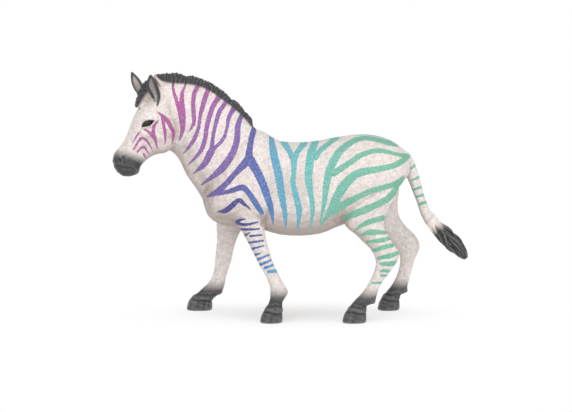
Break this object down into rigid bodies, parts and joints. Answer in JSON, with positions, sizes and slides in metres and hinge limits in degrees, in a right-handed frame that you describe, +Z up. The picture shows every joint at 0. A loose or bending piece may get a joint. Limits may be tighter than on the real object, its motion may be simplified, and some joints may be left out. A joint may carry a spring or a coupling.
{
  "type": "toy animal figure",
  "caption": "Rigid moulded toy zebra standing mid-stride with its head turned left, with upright mane, rainbow painted stripes and a swinging tail; stands on its hooves.",
  "frame": {"origin": "on the ground plane, under the middle of the figure's overall box", "axes": "+X from the head towards the tail, -Y to the figure's own left side, +Z up"},
  "size_m": [0.1206, 0.0302, 0.0862],
  "materials": {
    "hide": "soft matt off-white plastic with painted stripes",
    "hair": "matt dark grey brush-textured plastic",
    "hoof": "satin dark grey plastic",
    "eye": "gloss black"
  },
  "bodies": {
    "root": {"torso": "hide", "head_and_neck": "hide", "mane": "hair", "forelock": "hair", "ear_left": "hide", "ear_right": "hide", "eye_left": "eye", "eye_right": "eye", "front_left_leg": "hide", "front_left_hoof": "hoof", "front_right_leg": "hide", "front_right_hoof": "hoof", "hind_left_leg": "hide", "hind_left_hoof": "hoof", "hind_right_leg": "hide", "hind_right_hoof": "hoof", "tail": "hide", "tail_tuft": "hair"}
  },
  "joints": []
}
